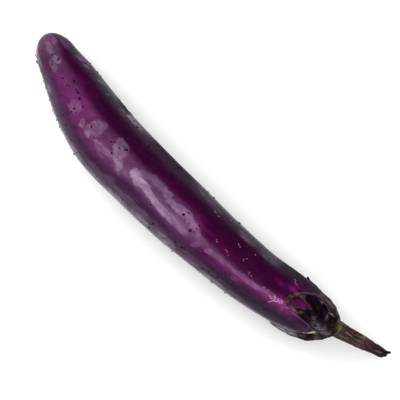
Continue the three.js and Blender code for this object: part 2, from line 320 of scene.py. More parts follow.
# the fruit, with its middle line over the table
fruit = {
    # x, the middle line across, the radius, how far the underside is off the table
    "stations": [
        (-153.6, 19.0, 11.4, 6.0), (-138, 13.6, 13.5, 3.6), (-120, 8.6, 17.5, 1.0), (-100, 2.7, 20.8, 0),
        (-75, -2.6, 23.0, 0), (-45, -3.7, 22.8, 0), (-10, -3.6, 22.5, 0), (25, -2.3, 20.8, 0),
        (55, -0.1, 19.6, 0.2), (80, 4.3, 18.5, 1.2), (92, 6.1, 17.4, 2.0), (99.5, 7.75, 15.4, 2.8),
        (112.5, 12.2, 14.8, 3.6),
    ],
    "noseLength": 14,
    "crownLength": 16,
    "restingFlatDepth": 0.3,
    "columns": 300,
    "rows": 320,
    "noseRows": 26,
    "crownRows": 18,
    # size of the lumps along and across, and their height
    "undulations": [(26, 11, 0.16), (8, 5, 0.045), (3.4, 2.2, 0.014)],
    # x, angle, reach along, spread in degrees, depth
    "dents": [(35, 52, 8, 12, 0.22), (53, 50, 9, 12, 0.2), (-76, 66, 9, 9, 0.15), (6, -48, 7, 9, 0.15)],
}
noseX = fruit["stations"][0][0]
crownX = fruit["stations"][-1][0]


def fruitMiddle(x):
    height = smoothThrough(fruit["stations"], x, 2) + smoothThrough(fruit["stations"], x, 3)
    return np.stack([x, smoothThrough(fruit["stations"], x, 1), height - fruit["restingFlatDepth"]], -1)


def fruitRadius(x):
    # the body's radius, closed at each end by a dome
    def dome(distance, length):
        return np.sqrt(np.clip(1 - (1 - np.minimum(distance / length, 1)) ** 2, 0, 1))
    return (smoothThrough(fruit["stations"], x, 2) * dome(x - noseX, fruit["noseLength"])
            * dome(crownX - x, fruit["crownLength"]))


def offSkin(x, angle, distance):
    # a point at a distance off the skin, measured square to the skin
    ring = ringFrame(fruitMiddle, x)
    outward = outwards(ring, angle)
    slope = (fruitRadius(x + 0.05) - fruitRadius(x - 0.05)) / 0.1
    normal = unit(outward - ring[1] * slope[..., None])
    return ring[0] + outward * fruitRadius(x)[..., None] + normal * np.asarray(distance)[..., None]


def angleRound(ring, points):
    across, upward = [np.sum((points - ring[0]) * way, -1) for way in ring[2:]]
    return np.degrees(np.arctan2(across, upward))


def placeOnSkin(points):
    # the x of the ring that points near the skin belong to, and their angle
    x = points[..., 0].copy()
    for _ in range(4):
        ring = ringFrame(fruitMiddle, x)
        x = np.clip(x + np.sum((points - ring[0]) * ring[1], -1) * ring[1][..., 0], noseX, crownX + 3)
    return x, angleRound(ringFrame(fruitMiddle, x), points)


def spotOn(x, angle, atX, atAngle, reach, spread, power=2):
    # 1 in the middle of a spot, falling to 0 with its reach along and its spread in degrees
    return np.exp(-(np.abs(x - atX) / reach) ** power - (angleApart(angle, atAngle % 360) / spread) ** power)


def fruitRings():
    # rings crowd together over the two domes
    quarter = math.pi / 2
    nose = noseX + fruit["noseLength"] * (1 - np.cos(np.linspace(0, quarter, fruit["noseRows"])))
    crown = crownX - fruit["crownLength"] * (1 - np.cos(np.linspace(quarter, 0, fruit["crownRows"])))
    between = fruit["rows"] - fruit["noseRows"] - fruit["crownRows"] + 2
    return np.concatenate([nose, np.linspace(nose[-1], crown[0], between)[1:-1], crown])


def fruitSkin():
    x, angle = np.meshgrid(fruitRings(), ringAngles(fruit["columns"]), indexing="ij")
    rings = offSkin(x, angle, 0)
    relief = sum(height * grain(rings, (long, wide), wide)
                 for long, wide, height in fruit["undulations"])
    for *spot, depth in fruit["dents"]:
        relief -= depth * spotOn(x, angle, *spot) ** 1.5
    rings = pushOut(rings, relief)
    rings[..., 2] = np.maximum(rings[..., 2], 0)
    return meshFromRows("fruitSkin", rings)


fruitMesh = fruitSkin()
cadFruit = [np.array(corner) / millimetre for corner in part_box("fruit")]
ownFruit = pointsOf(fruitMesh)
shift[:2] = ((cadFruit[0] + cadFruit[1]) / 2 - (ownFruit.min(0) + ownFruit.max(0)) / 2)[:2]
makeCamera()
print("fruit is shaped and the camera is up, shift to the packed frame", shift.round(2))

# the calyx, whose edge the skin's colours follow too
calyx = {
    # angle, x of the edge, lobe by lobe
    "edge": [
        (0, 78), (5, 77.6), (10, 77.9), (16, 79.1), (23.5, 81.4), (31.5, 83.9), (37.5, 86), (45.5, 89.7),
        (53.5, 92.8), (62, 94.3), (74, 95.5), (83, 96), (93, 94.5), (100, 90), (107, 83.3), (113.5, 90),
        (120, 95.5), (129, 98), (139, 92), (154, 84), (170, 91), (180, 98), (192, 92), (208, 84), (224, 92),
        (236, 97.5), (248, 91), (256, 83.5), (262, 79.8), (270, 80.8), (278, 82.6), (284.5, 85),
        (289, 87.8), (293, 91), (298, 93.4), (303, 95), (306.5, 97), (309.5, 99.8), (312.3, 102.8),
        (316, 104.8), (320.5, 105.2), (325, 104.3), (330, 102.6), (338, 97.8), (342.5, 94.6), (345.5, 91.4),
        (347.5, 88.4), (349, 85.6), (350.4, 82.8), (352, 80.6), (355, 78.9),
    ],
    "sepalMiddles": [14, 107, 154, 208, 262],
    "gap": 0.16,
    "edgeThickness": 0.5,
    "crownThickness": 1.5,
    "midribHeight": 0.35,
    "midribHalfAngle": 7,
    "sepalCurl": 0.05,
    "curlSharpness": 26,
    "liftedTip": (106, 2.6, 2),      # angle, half angle, height
    "shoulder": (108.6, 2.2),      # x, thickness
    "shoulderSharpness": 6,
    # share of the way from the shoulder to the stem's seat, radius
    "crownRings": [(0, 11.5), (0.4, 9.3), (0.8, 7.1), (1, 5.7)],
    "crownRidge": 0.35,
    "closing": (0.6, 0.18, 0),      # shares of the last ring that close the seat
    "edgeCrowding": 1.25,
    "columns": 480,
    "innerRows": 12,
    "outerRows": 80,
    "crownRows": 34,
}


def calyxEdge(angle):
    table = [(a + turn, x) for turn in (-360, 0, 360) for a, x in calyx["edge"]]
    return smoothThrough(table, angle % 360)


def offEdge(x, angle):
    # how far inside the calyx's edge a place on the skin is, square to the edge
    slope = (calyxEdge(angle + 1) - calyxEdge(angle - 1)) / (np.radians(2) * np.maximum(fruitRadius(x), 4))
    return (x - calyxEdge(angle)) / np.sqrt(1 + slope ** 2)


skinLook = {
    # x, and the angles between which the skin is painted lighter purple along the top, partly a flush of its
    # own colour and partly a painted highlight of the lamps
    "flushTop": [(-154, 40), (-145, 27), (-125, 14), (-105, 13), (-85, 14), (-65, 16), (-45, 13), (-25, 15),
                 (-5, 13), (5, 8), (15, -4), (35, -8), (55, -6), (75, -3), (85, 2), (113, 2)],
    "flushFoot": [(-154, -50), (-145, -42), (-125, -27), (-105, -28), (-85, -32), (-65, -28), (-45, -21),
                  (-25, -25), (-5, -27), (15, -30), (35, -28), (55, -24), (75, -26), (113, -24)],
    "flushBlur": (9, 8),
    # lumps along and across that the lighter band's top and foot stray with, and how many degrees
    "flushStray": [(12, 6, 3), (9, 6, 4)],
    # the skin round the fruit, from underneath over -Y, the top and +Y back to underneath: paler grey over the
    # -Y flank, a painted reflection of the floor, and darker towards +Y, partly pigment and partly painted
    # shade
    "sides": [(0, "241424"), (0.25, "2a1e2a"), (0.32, "3c2c3c"), (0.37, "3a253a"), (0.42, "391a37"),
              (0.5, "320528"), (0.56, "2c0124"), (0.6, "270322"), (0.65, "241526"), (0.7, "1b111b"),
              (1, "241424")],
    # the lighter band's colours, partly flush and partly painted highlight, along the length from 0 at the nose
    # to 1 at the crown
    "flush": [(0, "4e2e49"), (0.05, "46283f"), (0.1, "421c3c"), (0.2, "561c4c"), (0.27, "52264a"),
              (0.36, "522a4c"),
              (0.5, "4e2c4d"), (0.56, "5c305a"), (0.64, "4a0e42"), (0.8, "52194a"), (0.87, "581f4b"),
              (0.905, "42163a"), (0.925, "2a0c26"), (0.94, "1a0819"), (1, "140718")],
    # pale bloom, partly the skin's own wax and partly a painted highlight of the lamps, broken into patches
    "bloom": [(0, "927e90"), (0.15, "86688a"), (0.3, "80627e"), (0.42, "8e7690"), (0.56, "80607f"),
              (0.7, "8a5684"), (1, "985a8e")],
    # x, angle, reach along, spread in degrees, lean in degrees a millimetre, strength, squareness
    "patches": [
        (-133, -1, 3.6, 9, 0.5, 0.36, 2), (-143, -4, 5, 10, 0, 0.16, 2), (-131, -16, 5, 8, 0, 0.18, 2),
        (-146, 22, 3, 9, -1.6, 0.16, 2), (-146, -62, 6, 11, 0, 0.5, 3),
        (-100, -13, 4.5, 11, 0, 0.24, 2), (-101, -20, 3, 4, 1, 0.2, 2), (-89.5, -17, 2.6, 6, -1, 0.5, 2),
        (-82.5, -1, 4.6, 16, 1.2, 0.42, 2.5), (-81.8, -18, 2.6, 4, 0.5, 0.6, 2),
        (-71, -13, 7, 5.5, 0.2, 0.34, 2.5), (-73, -21, 5, 3, -1, 0.18, 2),
        (-63.5, 9, 5.2, 11, -0.6, 0.36, 2.5), (-64, -4, 4, 4.5, -2.4, 0.62, 3),
        (-58, -10, 3.6, 8, -1.5, 0.5, 2.5), (-56, -20, 4, 5, -1, 0.25, 2),
        (-40.8, -7.2, 8.4, 6.2, -0.1, 0.9, 7), (-44.4, -6, 4.6, 9, -0.6, 0.5, 5),
        (-25, -13.6, 9.5, 6.2, -0.5, 0.95, 4), (-8, -17, 11, 5.5, -0.15, 0.72, 4),
        (-40, 8, 6, 6, 1.2, 0.22, 3), (-30, 11, 6, 6, 0.2, 0.2, 3), (-21, 8, 6, 7, -0.6, 0.26, 2),
        (-17.5, 3, 3.4, 5, 0.8, 0.55, 2), (-9, 5, 6.5, 8, 0.2, 0.76, 3), (0, 2, 5, 7, -0.8, 0.9, 3),
        (6, -3, 4.4, 6, -1.6, 0.55, 3), (11, -10, 6, 5, 0.3, 0.16, 2), (10.5, -21, 2.6, 7, 1, 0.3, 2),
        (20.3, -16, 2.6, 6, 0, 0.5, 2.5), (30, -13, 8, 5, 0, 0.2, 2), (50, -12, 15, 5, 0.05, 0.24, 2),
        (42.5, -13.5, 4.5, 3, 0, 0.2, 2), (56, -11, 6, 4, 0.2, 0.18, 2), (64, -9, 8, 5, 0.2, 0.3, 2.5),
        (44, -25, 3, 4, 0, 0.2, 2), (74, -10, 4, 4.5, 0.5, 0.62, 2), (81.5, -12.2, 2, 1.6, 0, 0.8, 2),
        (88, -15.5, 4, 2.6, -0.4, 0.3, 2), (-71, 67, 8, 9, -0.6, 0.3, 2.5), (5, 55, 7, 7, 0, 0.12, 2),
        (-56, -42, 4, 6, 0, 0.12, 2), (-140, -55, 6, 8, 0, 0.3, 2), (-30, -46, 24, 7, 0, 0.14, 2),
        (-60, -48, 12, 7, 0, 0.1, 2), (20, -48, 24, 6, 0, 0.08, 2),
    ],
    "patchBlur": 0.15,
    # pale grey scuffs, partly wear and partly a painted reflection of the floor on the flanks, in the same
    # seven numbers
    "scuffs": [
        (88, -67, 6, 6, 0.5, 0.4, 2.5), (92, -56, 4, 4, 0.6, 0.35, 2), (92, -64, 3, 8, 0.6, 0.5, 2),
        (35, -65, 9, 7, 0, 0.55, 2.5), (17, -60, 6, 5, 0, 0.2, 2.5), (-6, -60, 9, 9, 0, 0.4, 2.5),
        (-25, -61, 7, 8, 0, 0.35, 2.5), (-45, -66, 8, 7, 0, 0.4, 2.5), (-65, -66, 8, 7, 0, 0.35, 2.5),
        (-83, -66, 9, 8, 0.2, 0.45, 2.5), (-120, -57, 3, 9, 0.8, 0.3, 2), (53, -58, 6, 5, 0, 0.2, 2.5),
        (-75, 68, 7, 9, -0.4, 0.2, 2), (-4, 60, 8, 6, 0, 0.14, 2.5), (34.5, 55, 6.5, 8, 0.4, 0.18, 5),
        (54, 54, 8, 9, 0, 0.17, 5), (-141, 44, 6, 10, 0.5, 0.1, 2), (-127, 56, 3, 8, 1, 0.22, 2),
        (-121, 54, 2, 6, 1, 0.2, 2), (-108, 64, 3, 7, 1, 0.15, 2), (-82, 56, 4, 6, -0.6, 0.13, 2),
        (-77.5, 63, 2.4, 4, 0, 0.35, 2), (-97, 64, 4, 5, 0.5, 0.1, 2), (60, -70, 6, 6, 0, 0.35, 2),
    ],
    "scuffBlur": 0.5,
    # how much the small blotches take off the bloom and its painted highlight, and off the scuffs and their
    # painted reflection
    "bloomBlotches": 0.2,
    "scuffBlotches": 0.55,
    "scuff": "90849a",
    # angles towards -Y where the polished flank starts, is full, fades and ends, and how pale it is painted
    # there, a painted reflection of the floor
    "polished": (66, 84, 96, 125),
    "polishedScuff": 0.24,
    "polishedFrom": (-115, -90),      # x where it starts and is full
    # x, angle, reach, spread of the dull skin that hardly shines
    "dulls": [(-35, 72, 22, 24), (82, 66, 20, 30), (-85, 80, 8, 16)],
    # a painted highlight on the rim of the nose, near white, in the same seven numbers
    "shines": [(-148, -76, 5, 14, 0, 0.4, 2)],
    "shine": "d8d0d8",
    # how far the patches' borders stray along and round, with the size of the lumps
    "wander": [(6, 1.2, 2.0), (2.2, 0.6, 1.3), (0.9, 0.25, 0.7)],
    # x, angle, reach, spread, strength of the magenta skin that the sepals used to cover
    "youngSpots": [(71, 21, 5, 4.5, 0.16), (78.6, 23, 3, 5.5, 0.42), (77, -9, 2.6, 4, 0.45),
                   (80, 36, 3, 5, 0.2), (-112, 22, 3.5, 5, 0.08), (-25, 21, 18, 4, 0.05),
                   (-4, 19, 12, 5, 0.08), (10, 9, 10, 5, 0.12), (28, 4, 12, 5, 0.06), (-88, 24, 14, 6, 0.04),
                   (89.5, 9, 5.5, 10, 0.26), (84, -20, 6, 4, 0.12)],
    "young": "961480",
    # the bluish skin towards the calyx: x and angle towards -Y where it starts and is full
    "duskFrom": (14, 34),
    "duskBelow": (30, 42),
    "dusk": "241a2c",
    "seam": "74607a",
    "seamWidth": 0.24,
    "seamOff": 0.35,
    "seamAngles": (-38, -30, -21, -9),      # where it starts, is full, fades and ends
    "sliver": "c4b896",
    # x and y of a bent line of pale green skin seen from above, with its half width
    "sliverLine": [(101.9, -4.2, 0.14), (103.2, -3.4, 0.22), (104.8, -2, 0.34), (106, -0.4, 0.5),
                   (107.2, 1.2, 0.85)],
    "scar": "2c1c20",
    "scarEnds": (0.7, 1.6),
    "cork": "0c0508",
}


def patchCover(x, angle, kind, blur):
    # how far the patches of a kind cover each place together
    clear = np.ones(len(x))
    for atX, atAngle, reach, spread, lean, strength, squareness in skinLook[kind]:
        alongShare = np.abs(x - atX) / reach
        roundShare = np.abs(angle - atAngle - lean * (x - atX)) / spread
        far = (alongShare ** squareness + roundShare ** squareness) ** (1 / squareness)
        clear *= 1 - strength * (1 - smoothStep(far, 1 - blur, 1 + blur))
    return 1 - clear


def nearLine(points, line):
    # 1 on a line seen from above through (x, y, half width), falling to 0 beside it
    near = np.zeros(len(points))
    for start, end in zip(line[:-1], line[1:]):
        way = np.subtract(end[:2], start[:2])
        share = np.clip((points[:, :2] - start[:2]) @ way / (way @ way), 0, 1)
        width = start[2] + (end[2] - start[2]) * share
        away = np.linalg.norm(points[:, :2] - start[:2] - share[:, None] * way, axis=1)
        near = np.maximum(near, 1 - smoothStep(away, width * 0.6, width * 1.5))
    return near


def paintSkin(mesh):
    points = pointsOf(mesh)
    x, angle = placeOnSkin(points)
    strayX, strayAngle = x.copy(), angle.copy()
    for size, along, around in skinLook["wander"]:
        strayX += along * grain(points, size, 3)
        strayAngle += around * grain(points, size, 5)
    topBlur, footBlur = skinLook["flushBlur"]
    topStray, footStray = [far * grain(points, size, seed)
                           for (*size, far), seed in zip(skinLook["flushStray"], (7, 8))]
    top = smoothThrough(skinLook["flushTop"], x) + topStray
    foot = smoothThrough(skinLook["flushFoot"], x) + footStray
    dull, young = np.zeros((2, len(points)))
    for spot in skinLook["dulls"]:
        dull = np.maximum(dull, spotOn(x, angle, *spot, power=4))
    for *spot, strength in skinLook["youngSpots"]:
        young = np.maximum(young, strength * spotOn(strayX, strayAngle, *spot))
    blotches = smoothStep(grain(points, (4, 2.5), 13) + 0.6 * grain(points, (1.5, 1), 14), -0.25, 0.3)
    polish = riseAndFall(-angle, skinLook["polished"])
    rim = skinLook["polishedScuff"] * polish * smoothStep(x, *skinLook["polishedFrom"])
    scuffs = np.maximum(patchCover(strayX, strayAngle, "scuffs", skinLook["scuffBlur"]), rim)
    patches = patchCover(strayX, strayAngle, "patches", skinLook["patchBlur"])
    seam = bellCurve(offEdge(x, angle) + skinLook["seamOff"], skinLook["seamWidth"])
    tip = np.array([noseX, *fruitMiddle(noseX)[1:]])
    onTop = points[:, 2] > fruitMiddle(points[:, 0])[:, 2]
    paint(
        mesh,
        around=angle / 360 + 0.5,
        along=(x - noseX) / (crownX - noseX),
        flush=riseAndFall(angle, (foot - footBlur, foot + footBlur, top - topBlur, top + topBlur)),
        bloom=patches * (1 - skinLook["bloomBlotches"] * (1 - blotches)),
        scuff=scuffs * (1 - skinLook["scuffBlotches"] * (1 - blotches)),
        shine=patchCover(strayX, strayAngle, "shines", skinLook["scuffBlur"]),
        dull=dull,
        polish=polish,
        young=young,
        dusk=smoothStep(x, *skinLook["duskFrom"]) * smoothStep(-angle, *skinLook["duskBelow"]),
        seam=seam * riseAndFall(angle, skinLook["seamAngles"]),
        sliver=nearLine(points, skinLook["sliverLine"]) * onTop,
        scar=1 - smoothStep(np.linalg.norm(points - tip, axis=1), *skinLook["scarEnds"]),
    )


def skinMaterial():
    material, tree = newMaterial("glossySkin", IOR=1.15, CoatRoughness=0.3)
    stray = lumps(tree, 8, toLow=-0.02, toHigh=0.02, stretch=0.5)
    # the colour round the fruit carries the painted reflection on the -Y flank and the painted shade towards +Y
    colour = ramp(tree, combine(tree, stray, painted(tree, "around"), "ADD"), skinLook["sides"])
    colour = cover(tree, colour, "dusk", skinLook["dusk"], 0.8)
    along = painted(tree, "along")
    # the lighter band along the top: partly the skin's flush, partly a painted highlight
    colour = cover(tree, colour, "flush", ramp(tree, along, skinLook["flush"]))
    # the pale bloom and its painted highlight are streaked along the fruit and pricked with dark pits
    streaks = lumps(tree, 2.6, 0.32, 0.6, 0.55, 1.1, stretch=0.4, detail=4)
    pits = lumps(tree, 0.7, 0.64, 0.7, 1, 0.35, detail=1)
    colour = cover(tree, colour, "bloom", ramp(tree, along, skinLook["bloom"]), combine(tree, streaks, pits))
    # among these, the pale scuffs carry a painted reflection and the shine a painted highlight
    for layer in ("young", "scuff", "shine", "seam", "sliver", "scar", "cork"):
        colour = cover(tree, colour, layer, skinLook[layer])
    # lumps of lighter and darker skin, from the broad ones to the fine ones
    mottle = lumps(tree, 14, toLow=0.8, toHigh=1.2, stretch=0.4)
    for size, low, high in ((4.5, 0.82, 1.18), (1.4, 0.84, 1.16)):
        mottle = combine(tree, mottle, lumps(tree, size, toLow=low, toHigh=high, stretch=0.5))
    rough = lumps(tree, 6, toLow=0.2, toHigh=0.32)
    for layer, more in (("bloom", 0.12), ("dull", 0.4)):
        rough = combine(tree, rough, combine(tree, painted(tree, layer), more), "ADD")
    polish = combine(tree, painted(tree, "polish"), 0.7)
    connect(tree, BaseColor=scaleTone(tree, colour, mottle), Roughness=rough, CoatWeight=polish)
    roughen(tree, 1.1, 0.05, 0.35)
    return material


paintSkin(fruitMesh)
skin = skinMaterial()
standFor(fruitMesh, skin, "fruit_skin", "fruit")

# warts, thickest towards the nose
warts = {
    # x, angle, size of those in plain sight
    "upper": [
        (-144.8, 84, 0.7), (-140.8, -86, 1.4), (-138.2, -6, 0.7), (-135, -84, 0.8), (-133.2, 6, 0.6),
        (-132.8, 2.5, 1), (-132.2, -17.5, 0.8), (-128.8, -86, 0.9), (-124.2, -84, 0.9), (-123.4, 53, 0.7),
        (-122.8, 58, 1), (-120, -9.5, 0.8), (-119, -63, 0.7), (-115.8, -86, 0.9), (-115.6, 44.5, 0.9),
        (-114.6, 7.5, 1), (-114.4, -8, 0.7), (-114.4, 52, 0.6), (-113.2, 84, 0.8), (-112.6, -4.5, 0.6),
        (-112.6, 11, 0.6), (-108.6, 4, 0.6), (-107, -84, 0.8), (-106.8, 4, 1), (-103, -85, 0.8),
        (-103, 1.5, 1), (-103, 35.5, 0.7), (-102.2, 43, 0.7), (-100.8, -43, 0.9), (-99.8, -16, 1),
        (-99, -31, 0.6), (-99, -23, 0.8), (-97.8, -1, 0.7), (-96.8, -17.5, 0.6), (-96.2, -84, 0.7),
        (-94.8, -48, 0.9), (-93, 84, 0.8), (-90.8, -35.5, 0.6), (-90.6, 32.5, 0.6), (-87.2, 56, 0.8),
        (-87, 85, 0.8), (-86.4, -57.5, 0.9), (-84.2, -6.5, 0.9), (-81, 61, 0.8), (-80.2, -18, 0.7),
        (-79.4, -64.5, 1), (-78.2, 34.5, 0.8), (-72.8, -66, 0.8), (-72.6, 67.5, 1), (-70.8, 4.5, 0.8),
        (-69.2, 8.5, 0.8), (-67.8, 59.5, 1.3), (-66.2, 28.5, 0.6), (-65.8, -7, 0.8), (-64.8, 7, 0.7),
        (-61.8, 11.5, 0.8), (-60.8, 13.5, 1.1), (-55.6, 26.5, 0.6), (-53, 47.5, 1.4), (-45.6, -14, 0.6),
        (-44.8, 70.5, 0.8), (-36.2, -58.5, 0.7), (-29.2, 62.5, 1.4), (-25.8, -22.5, 0.7),
        (-18.8, 11, 0.8), (-17, -64.5, 1.1), (-16.8, -47, 1.3), (-10.2, 6, 0.6), (-7.2, 2.5, 1.4),
        (-5.4, 10, 0.8), (-4.8, 82.5, 0.9), (-1, -2, 0.6), (0.8, -46, 0.7), (2.4, -9.5, 1.4),
        (2.6, -50.5, 0.8), (4.4, 7, 0.7), (4.6, -0.5, 0.7), (6, -45, 1.3), (8, -44.5, 0.9),
        (20.4, -23, 0.9), (24.4, -55.5, 0.7), (28.4, 46, 0.7), (29.4, -50, 0.8), (35.8, -47.5, 1.1),
        (44.6, -39, 0.7), (49, -44, 0.6), (57.2, -61.5, 0.8), (80.6, 39, 0.7), (83.4, 52.5, 1.2),
    ],
    "flankCount": 30,
    # least, most and crowding of x, of the angle and of the size
    "flankRanges": [(-146, 70, 1.8), (78, 120, 1), (0.9, 1.5, 1)],
    "seed": 7,
    # share of the wart's radius, height: a low cone with a pit in its corky top
    "profile": [(1.25, -0.12), (1.0, 0.04), (0.76, 0.3), (0.5, 0.44), (0.3, 0.4), (0, 0.3)],
    "radius": 0.75,
    "unevenness": (0.12, 0.08),      # shares of the radius, in two and in three lobes
    "rootDepth": 0.3,
    "sides": 14,
    "corkEnds": (0.8, 1.05),      # shares of the radius between which the cork ends
}


def seededDraw(seed):
    # numbers between 0 and 1, the same ones for the same seed
    state = seed
    while True:
        state = state * 16807 % 2147483647
        yield state / 2147483647


def wartPlaces():
    # those in plain sight, then those of the flanks, half of them on each side
    draws = seededDraw(warts["seed"])
    places = list(warts["upper"])
    for index in range(warts["flankCount"]):
        x, angle, size = [least + (most - least) * next(draws) ** crowding
                          for least, most, crowding in warts["flankRanges"]]
        places.append((x, angle if index % 2 else -angle, size))
    return places


def wartMesh(x, angle, size):
    foot, tip = offSkin(x, angle, 0), offSkin(x, angle, 1)
    out = tip - foot
    side = unit(np.cross(out, [1, 0, 0]))
    forward = np.cross(side, out)
    turn = np.radians(ringAngles(warts["sides"]))
    two, three = warts["unevenness"]
    uneven = 1 + two * np.sin(2 * turn + x) + three * np.sin(3 * turn + angle)
    around = side * np.cos(turn)[:, None] + forward * np.sin(turn)[:, None]
    rings = [np.repeat((foot - out * warts["rootDepth"])[None], warts["sides"], axis=0)]
    for share, height in warts["profile"]:
        reach = share * warts["radius"] * size * uneven
        rings.append(foot + out * height * size + around * reach[:, None])
    mesh = meshFromRows("wart", np.array(rings))
    away = np.linalg.norm(np.cross(pointsOf(mesh) - foot, out), axis=1) / (warts["radius"] * size)
    return mesh, 1 - smoothStep(away, *warts["corkEnds"])


wartsMesh = joinMeshes("fruitWarts", "cork", [wartMesh(*place) for place in wartPlaces()])
paintSkin(wartsMesh)
standFor(wartsMesh, skin, "fruit_skin", "fruit")

scratches = {
    # x, angle, length, heading in degrees off the length, bend in degrees over its length
    "clear": [
        (71.5, -7.5, 3.4, -40, 30), (74.5, -12, 4, -20, -50), (70.5, -20, 5.5, 55, 20),
        (73, -15, 3.4, 40, 20), (69, -12, 3, -35, 20), (76.5, -8, 2.6, -60, 10),
    ],
    "faint": [
        (19.2, 8, 2.6, -62, 20), (20, 6, 1.6, 48, 10), (28, 4, 3.6, -8, -60), (31, 1.5, 1.4, -60, 0),
        (32, 30, 2.2, -55, 20), (33.5, 28, 1.8, -50, 0), (41, 14, 2.6, -75, 60), (42, 19, 1.2, 20, 0),
        (45, 37, 1.6, -70, 30), (49, 2, 2.2, -70, 40), (51, -0.5, 1.6, -35, 0), (62, -5, 1.6, 60, 20),
        (65.5, -5, 1.8, 70, 0), (79, -18, 2.2, -60, 20), (6.5, 47, 3, -25, 30), (10, 44, 2.2, 30, 20),
        (18, 62, 3, -15, 20), (78, 41, 3.4, -30, 60), (76.5, 46, 2.4, -10, 40),
        (-66, 28, 0.9, 0, 0), (-55.5, 26, 0.9, 40, 0),
        (-97, 52, 3, 70, -60), (-122, 58, 3.6, 80, -40), (-30, -150, 6, 20, 30), (20, 165, 8, -15, 20),
        (-80, 140, 5, 40, -30), (50, -120, 4, -30, 40),
    ],
    "radius": 0.16,
    "offSkin": 0.02,
    "steps": 9,
    "sides": 8,
    "pale": "ccb0ca",
    "dark": "5c3256",
    "faintness": 0.34,
}


def scratchMesh(paleness, x, angle, length, heading, bend):
    share = np.linspace(-0.5, 0.5, scratches["steps"])
    turn = np.radians(heading + bend * share)
    step = length / (scratches["steps"] - 1)
    atX = x + np.cumsum(np.cos(turn)) * step - length / 2 * math.cos(math.radians(heading))
    across = np.cumsum(np.sin(turn)) * step - length / 2 * math.sin(math.radians(heading))
    path = offSkin(atX, angle + np.degrees(across / fruitRadius(atX)), scratches["offSkin"])
    radii = scratches["radius"] * np.sqrt(np.clip(1 - (share * 2) ** 2, 0, 1))
    mesh = meshFromRows("scratch", rowsOfTube(path, radii, scratches["sides"]))
    return mesh, np.full(len(mesh.vertices), paleness)


def scratchMaterial():
    material, tree = newMaterial("healedScratch", IOR=1.3, Roughness=0.45)
    broken = lumps(tree, 0.8, 0.35, 0.55, 0.4, 1)
    connect(tree, BaseColor=cover(tree, scratches["dark"], "pale", scratches["pale"], broken))
    roughen(tree, 0.3, 0.05, 0.5)
    return material


scratchParts = [scratchMesh(1, *place) for place in scratches["clear"]]
scratchParts += [scratchMesh(scratches["faintness"], *place) for place in scratches["faint"]]
standFor(joinMeshes("fruitScratches", "pale", scratchParts), scratchMaterial(), "fruit_skin", "fruit")

calyxLook = {
    # size of the creases along and across, height at the edge and at the crown
    "creases": [(9, 2.4, 0.14, 0.6), (4, 1.1, 0.1, 0.36), (1.6, 0.6, 0.05, 0.15)],
    "lumps": (6, 0.1, 0.6),      # size, height at the edge and at the crown
    "edgeWave": (5, 0.28),      # size, height
    "leather": "0d030e",
    # the leather's colour, and the painted sheen laid on its ridges
    "sheen": "271826",
    "ashSheen": "94848c",
    "tan": "9a8c76",
    "rust": "2e1418",
    "edge": "26161c",
    "mauve": "4c2c42",
    "pale": "9c969e",
    "olive": "5c522e",
    "pink": "7c5068",
    # dried tissue from its darkest to its lightest lumps
    "dried": [(0.34, "0e080a"), (0.43, "26161a"), (0.52, "3c2826"), (0.6, "4a3e2c"), (0.72, "6a603e")],
    "mauveAngles": (25, 32, 61, 67),      # where it starts, is full, fades and ends
    # how far in from the edge the edge's own colours start to fade and end, and the last x that counts
    "mauveEnds": (0.8, 2.2),
    "edgeEnds": (0.1, 0.6),
    "edgeUpTo": 108,
    # how far dried tissue reaches from the window, widest and narrowest, and the x between which it narrows
    "driedReach": (3.4, 0.3),
    "driedNarrows": (84.5, 88),
    "crownFrom": (98, 106),
    "offTable": 0.3,
    "spotsAbove": 16,      # the least height of the spots below
    "spotStray": (1.2, 0.5),      # the lumps that their borders stray with, and how far
    # x, y, reach along, reach across, lean in degrees, strength of spots seen from above
    "spots": {
        # pale streaks, partly the dried calyx's own and partly a painted sheen where light grazes it
        "ashSheen": [
            (108, 5.4, 6, 2.6, 5, 0.9), (107.8, 6.4, 1.6, 0.5, 0, 1), (113.5, 6.6, 2.6, 2, 30, 0.8),
            (101, 6.3, 3.4, 1.1, -35, 0.45), (99.4, 8.9, 1.3, 0.5, 0, 0.3), (103.2, 5.8, 2, 0.6, -30, 0.45),
            (96.9, 18.9, 1.5, 0.8, 10, 0.8), (101.2, 19.5, 1.8, 0.5, 8, 0.4),
            (103.6, 18.2, 1.6, 0.5, -10, 0.4), (102, 21.4, 9, 1.4, -6, 0.5), (108.5, 20.8, 3, 1, -30, 0.45),
            (105.3, 14.4, 0.6, 1.8, 15, 0.45), (106.5, 12.8, 0.6, 1.4, -20, 0.45),
            (111.5, -1, 3, 2.5, 30, 0.45), (103, -5.5, 3, 1.5, 35, 0.35), (91, 5.5, 1.4, 0.4, 10, 0.35),
            (94, 21.5, 1.5, 2, 0, 0.6),
        ],
        "tan": [
            (107, 17.3, 1.9, 0.5, 6, 0.75), (108.2, 1.4, 1.4, 0.9, 20, 0.5),
            (105.2, 13.7, 0.8, 0.5, 0, 0.2), (114.3, 17.4, 1, 1.4, 0, 0.4),
        ],
        "rust": [(109.4, 9.4, 2.6, 1.8, 0, 0.9), (108.8, 18.6, 1.6, 0.7, 0, 0.6), (111.5, 12, 3, 2, 0, 0.4)],
        # pale grey, a painted reflection on the sepal's edge where the skin beside it catches grazing light
        "pale": [(89.5, -11.8, 5.5, 1.5, 10, 0.9), (97, -9.6, 3, 1.2, 20, 0.7)],
        "olive": [(117, 15.6, 2.2, 3.2, -20, 0.9), (114.6, 17.6, 1.4, 1, 0, 0.7)],
        "pink": [(86.6, 2.4, 2.8, 0.9, 4, 0.75), (90.3, 4.2, 1.2, 0.5, 30, 0.5)],
    },
}
